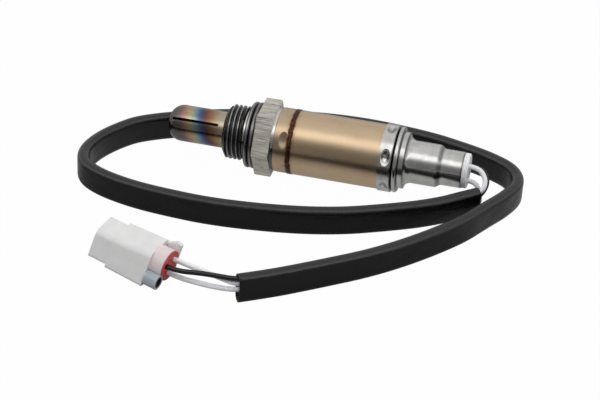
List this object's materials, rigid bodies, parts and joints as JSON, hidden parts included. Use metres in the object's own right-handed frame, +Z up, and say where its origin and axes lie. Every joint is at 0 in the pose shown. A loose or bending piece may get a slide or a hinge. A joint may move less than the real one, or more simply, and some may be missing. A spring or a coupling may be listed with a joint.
{
  "type": "oxygen sensor",
  "caption": "heated exhaust gas oxygen sensor: slotted probe, threaded hexagon body with crush gasket, long heat shield, stepped rear cap and a wired lead in a flat sleeve ending in a plug",
  "frame": {"origin": "on the surface that the sensor lies on, under the middle of the sensor's own length, which leaves out its lead and plug", "axes": "+X along the sensor from its probe tip towards the grommet that its lead leaves, +Z up from the surface, the plug lies on the -Y side"},
  "size_m": [0.142, 0.1081, 0.022],
  "materials": {
    "tube_steel": "heat tinted stainless steel",
    "body_steel": "dull plated steel",
    "gasket_steel": "rolled stainless steel strip",
    "shield_steel": "bronze coloured brushed stainless steel",
    "cap_steel": "bright drawn stainless steel",
    "spring_steel": "plain spring steel",
    "sensor_ceramic": "fired ceramic with a platinum film",
    "packing_powder": "pressed mineral powder",
    "insulator_ceramic": "plain fired ceramic",
    "heater_ceramic": "plain fired ceramic",
    "contact_metal": "plated contact metal",
    "grommet_white": "waxy white fluoroplastic",
    "wire_white": "smooth white insulation",
    "wire_black": "smooth black insulation",
    "sleeve_black": "satin black flat sleeving",
    "plug_nylon": "milky natural nylon",
    "seal_red": "red silicone rubber",
    "stopper_black": "black rubber"
  },
  "bodies": {
    "root": {"protection_tube": "tube_steel", "sensor_shell": "body_steel", "gasket_ring": "gasket_steel", "protective_sleeve": "shield_steel", "rear_cap": "cap_steel", "seal_washer": "spring_steel", "crush_ring": "spring_steel", "disc_spring": "spring_steel", "spring_sleeve": "spring_steel", "sensing_thimble": "sensor_ceramic", "powder_packing": "packing_powder", "support_bush": "insulator_ceramic", "ceramic_insulator": "insulator_ceramic", "heater_rod": "heater_ceramic", "contact_clip": "contact_metal", "crimp_terminal_1": "contact_metal", "crimp_terminal_2": "contact_metal", "crimp_terminal_3": "contact_metal", "grommet": "grommet_white", "wire_heater_a": "wire_white", "wire_heater_b": "wire_white", "wire_signal": "wire_black", "lead_sleeve": "sleeve_black", "plug_housing": "plug_nylon", "wire_seal": "seal_red", "blanking_plug": "stopper_black", "plug_terminal_1": "contact_metal", "plug_terminal_2": "contact_metal", "plug_terminal_3": "contact_metal"}
  },
  "joints": []
}
